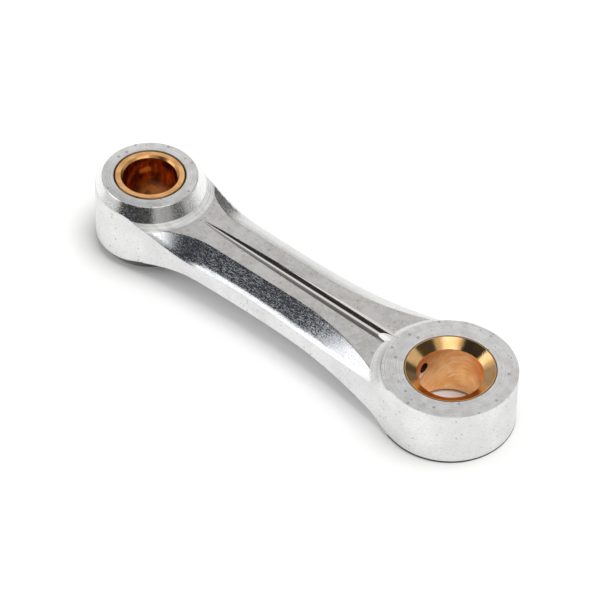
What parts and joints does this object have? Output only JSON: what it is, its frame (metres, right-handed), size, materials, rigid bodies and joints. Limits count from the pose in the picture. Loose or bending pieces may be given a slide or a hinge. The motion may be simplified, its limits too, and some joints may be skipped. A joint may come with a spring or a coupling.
{
  "type": "connecting rod",
  "caption": "Small-engine connecting rod with a waisted, bevelled shank and a pressed bronze bush in each end, for a crankpin and a wrist pin.",
  "frame": {"origin": "under the middle of the rod's length and width, level with the lower face of the small end", "axes": "+X from the small end to the big end along the rod, +Z along both bores towards the grooved face"},
  "size_m": [0.0472, 0.012, 0.0075],
  "materials": {
    "machined_aluminium": "machined, satin on the sides and flats, bright on the bevels",
    "big_bush_bronze": "bored bronze, polished chamfer",
    "small_bush_bronze": "bored bronze, turned face"
  },
  "bodies": {
    "root": {"rod_body": "machined_aluminium", "big_end_bush": "big_bush_bronze", "small_end_bush": "small_bush_bronze"}
  },
  "joints": []
}
